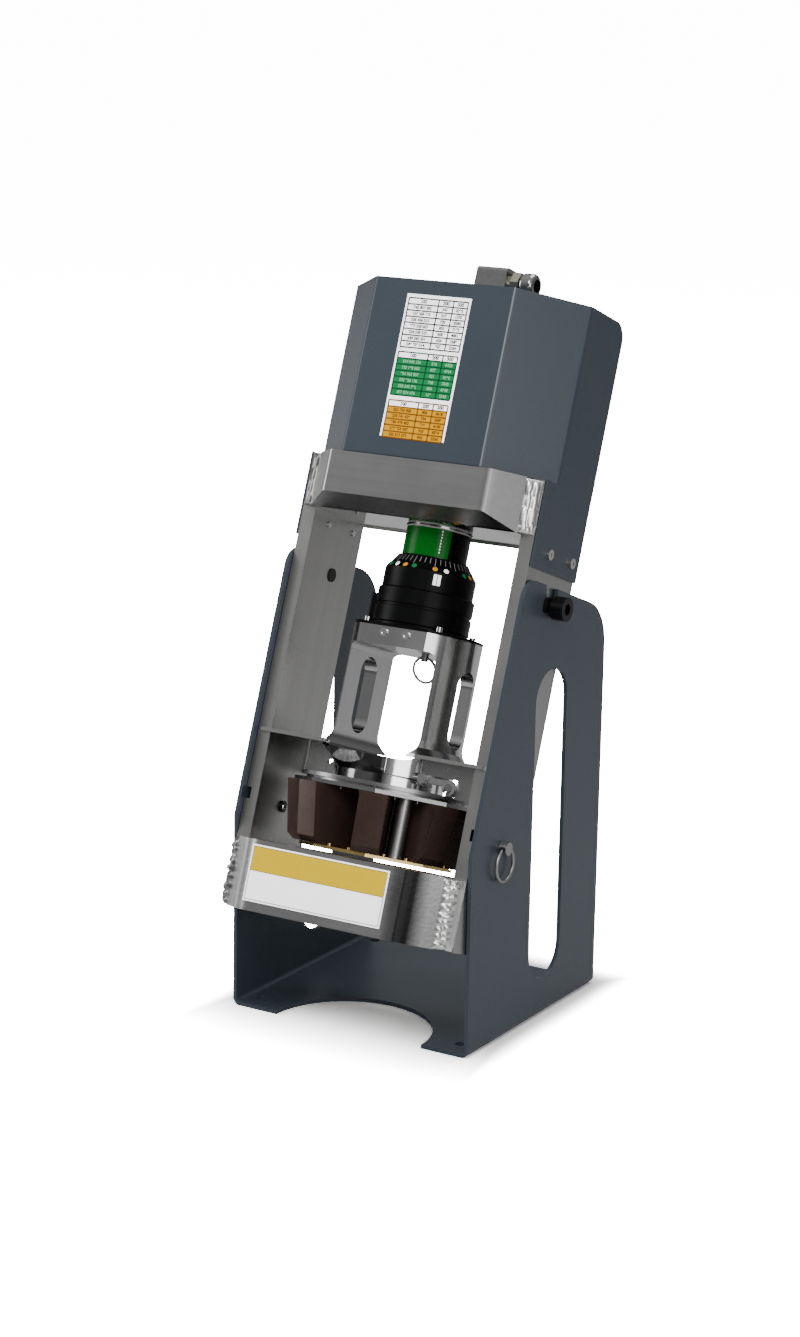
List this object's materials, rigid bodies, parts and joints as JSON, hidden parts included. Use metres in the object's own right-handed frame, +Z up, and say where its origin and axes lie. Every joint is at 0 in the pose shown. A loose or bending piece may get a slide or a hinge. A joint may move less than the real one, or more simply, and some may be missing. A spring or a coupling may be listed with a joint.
{
  "type": "hydraulic hose crimper",
  "caption": "Bench hose crimper: a tilting head with a hydraulic ram, a slotted pusher and radial dies that close in a tapered bowl, on a bent sheet stand.",
  "frame": {"origin": "on the bench under the middle of the stand's floor", "axes": "+Z up, -Y towards the user at the front, +X to the user's right; the head leans back by 20 degrees"},
  "size_m": [0.2672, 0.3034, 0.6352],
  "materials": {
    "painted_steel": "satin blue-grey paint",
    "machined_steel": "milled",
    "weld": "as welded",
    "aluminium": "satin",
    "black_steel": "black oxide",
    "bright_steel": "bright",
    "chromed": "hard chrome, polished",
    "bronze": "bearing bronze",
    "seal": "moulded",
    "spring_steel": "wound",
    "sleeve": "printed sleeve",
    "die_steel": "oiled, hardened",
    "brass": "bright brass",
    "dark_steel": "knurled, dark"
  },
  "bodies": {
    "stand": {"stand_shell": "painted_steel"},
    "head": {"left_side_plate": "machined_steel", "right_side_plate": "machined_steel", "head_block": "machined_steel", "die_bowl": "machined_steel", "weld_beads": "weld", "rear_bar": "aluminium", "hood": "painted_steel", "hood_screws": "black_steel", "pivot_bolts": "black_steel", "pivot_washers": "black_steel", "cylinder_barrel": "machined_steel", "cylinder_cap": "machined_steel", "rod_gland": "bronze", "rod_wiper": "seal", "return_spring": "spring_steel", "spring_anchors": "spring_steel", "plunger_body": "black_steel", "inlet_elbow": "dark_steel", "inlet_adapter": "bright_steel", "inlet_coupler": "dark_steel"},
    "right_pin": {"right_lock_pin": "bright_steel"},
    "left_pin": {"left_lock_pin": "bright_steel"},
    "right_ring": {"right_pin_ring": "bright_steel"},
    "left_ring": {"left_pin_ring": "bright_steel"},
    "ram": {"ram_rod": "chromed", "piston_seal": "seal", "ram_sleeve": "sleeve", "dial_collar": "black_steel", "pusher_cap_plate": "black_steel", "pusher": "machined_steel", "pusher_set_screws": "black_steel", "pusher_base": "machined_steel", "pusher_cap_screws": "black_steel", "right_guide_wing": "bright_steel", "left_guide_wing": "bright_steel", "latch_brackets": "machined_steel", "latch_screws": "bright_steel", "bracket_screws": "bright_steel", "latch_catches": "machined_steel", "cage_top_plate": "machined_steel", "cage_retainer": "machined_steel", "cage_posts": "bright_steel", "cage_floor_plate": "brass", "cage_screws": "bright_steel"},
    "dial": {"dial_ring": "black_steel"},
    "release_pin": {"release_plunger": "bright_steel"},
    "pull_ring": {"release_ring": "bright_steel"},
    "right_latch": {"right_latch_hook": "bright_steel"},
    "left_latch": {"left_latch_hook": "bright_steel"},
    "detent_ball": {"plunger_ball": "bright_steel"},
    "jaw_1": {"die_1": "die_steel"},
    "jaw_2": {"die_2": "die_steel"},
    "jaw_3": {"die_3": "die_steel"},
    "jaw_4": {"die_4": "die_steel"},
    "jaw_5": {"die_5": "die_steel"},
    "jaw_6": {"die_6": "die_steel"},
    "jaw_7": {"die_7": "die_steel"},
    "jaw_8": {"die_8": "die_steel"}
  },
  "joints": [
    {"name": "head_tilt", "type": "hinge", "parent": "stand", "child": "head", "pos_m": [0, 0.013, 0.364], "axis": [1, 0, 0], "range_deg": [0, 11]},
    {"name": "right_pin_pull", "type": "slide", "parent": "stand", "child": "right_pin", "axis": [1, 0, 0], "range_m": [0, 0.03]},
    {"name": "left_pin_pull", "type": "slide", "parent": "stand", "child": "left_pin", "axis": [-1, 0, 0], "range_m": [0, 0.03]},
    {"name": "right_ring_swing", "type": "hinge", "parent": "right_pin", "child": "right_ring", "pos_m": [0.12255, -0.06399, 0.1725], "axis": [0, -1, 0], "range_deg": [0, 100]},
    {"name": "left_ring_swing", "type": "hinge", "parent": "left_pin", "child": "left_ring", "pos_m": [-0.12255, -0.06399, 0.1725], "axis": [0, 1, 0], "range_deg": [0, 100]},
    {"name": "ram_stroke", "type": "slide", "parent": "head", "child": "ram", "axis": [0, -0.342, -0.9397], "range_m": [0, 0.045], "stiffness_N_per_m": 5000, "springref_m": -0.05},
    {"name": "dial_turn", "type": "hinge", "parent": "ram", "child": "dial", "pos_m": [0, 0.01172, 0.37511], "axis": [0, 0.342, 0.9397], "range_deg": [-150, 150]},
    {"name": "release_pull", "type": "slide", "parent": "ram", "child": "release_pin", "axis": [0, -0.342, -0.9397], "range_m": [0, 0.006], "stiffness_N_per_m": 400, "springref_m": -0.005},
    {"name": "release_ring_swing", "type": "hinge", "parent": "release_pin", "child": "pull_ring", "pos_m": [0.01, -0.01195, 0.31008], "axis": [1, 0, 0], "range_deg": [-40, 40]},
    {"name": "right_latch_swing", "type": "hinge", "parent": "ram", "child": "right_latch", "pos_m": [0.0475, -0.07359, 0.22259], "axis": [0, -0.9397, 0.342], "range_deg": [0, 25]},
    {"name": "left_latch_swing", "type": "hinge", "parent": "ram", "child": "left_latch", "pos_m": [-0.0475, -0.02097, 0.20343], "axis": [0, 0.9397, -0.342], "range_deg": [0, 25]},
    {"name": "detent_press", "type": "slide", "parent": "head", "child": "detent_ball", "axis": [-1, 0, 0], "range_m": [0, 0.0025], "stiffness_N_per_m": 500, "springref_m": -0.004},
    {"name": "jaw_1_close", "type": "slide", "parent": "ram", "child": "jaw_1", "axis": [-0.9239, -0.3596, 0.1309], "range_m": [0, 0.0084]},
    {"name": "jaw_2_close", "type": "slide", "parent": "ram", "child": "jaw_2", "axis": [-0.3827, -0.8682, 0.316], "range_m": [0, 0.0084]},
    {"name": "jaw_3_close", "type": "slide", "parent": "ram", "child": "jaw_3", "axis": [0.3827, -0.8682, 0.316], "range_m": [0, 0.0084]},
    {"name": "jaw_4_close", "type": "slide", "parent": "ram", "child": "jaw_4", "axis": [0.9239, -0.3596, 0.1309], "range_m": [0, 0.0084]},
    {"name": "jaw_5_close", "type": "slide", "parent": "ram", "child": "jaw_5", "axis": [0.9239, 0.3596, -0.1309], "range_m": [0, 0.0084]},
    {"name": "jaw_6_close", "type": "slide", "parent": "ram", "child": "jaw_6", "axis": [0.3827, 0.8682, -0.316], "range_m": [0, 0.0084]},
    {"name": "jaw_7_close", "type": "slide", "parent": "ram", "child": "jaw_7", "axis": [-0.3827, 0.8682, -0.316], "range_m": [0, 0.0084]},
    {"name": "jaw_8_close", "type": "slide", "parent": "ram", "child": "jaw_8", "axis": [-0.9239, 0.3596, -0.1309], "range_m": [0, 0.0084]}
  ],
  "couplings": [
    {"joint": "jaw_1_close", "follows": "ram_stroke", "ratio": 0.185},
    {"joint": "jaw_2_close", "follows": "ram_stroke", "ratio": 0.185},
    {"joint": "jaw_3_close", "follows": "ram_stroke", "ratio": 0.185},
    {"joint": "jaw_4_close", "follows": "ram_stroke", "ratio": 0.185},
    {"joint": "jaw_5_close", "follows": "ram_stroke", "ratio": 0.185},
    {"joint": "jaw_6_close", "follows": "ram_stroke", "ratio": 0.185},
    {"joint": "jaw_7_close", "follows": "ram_stroke", "ratio": 0.185},
    {"joint": "jaw_8_close", "follows": "ram_stroke", "ratio": 0.185}
  ]
}
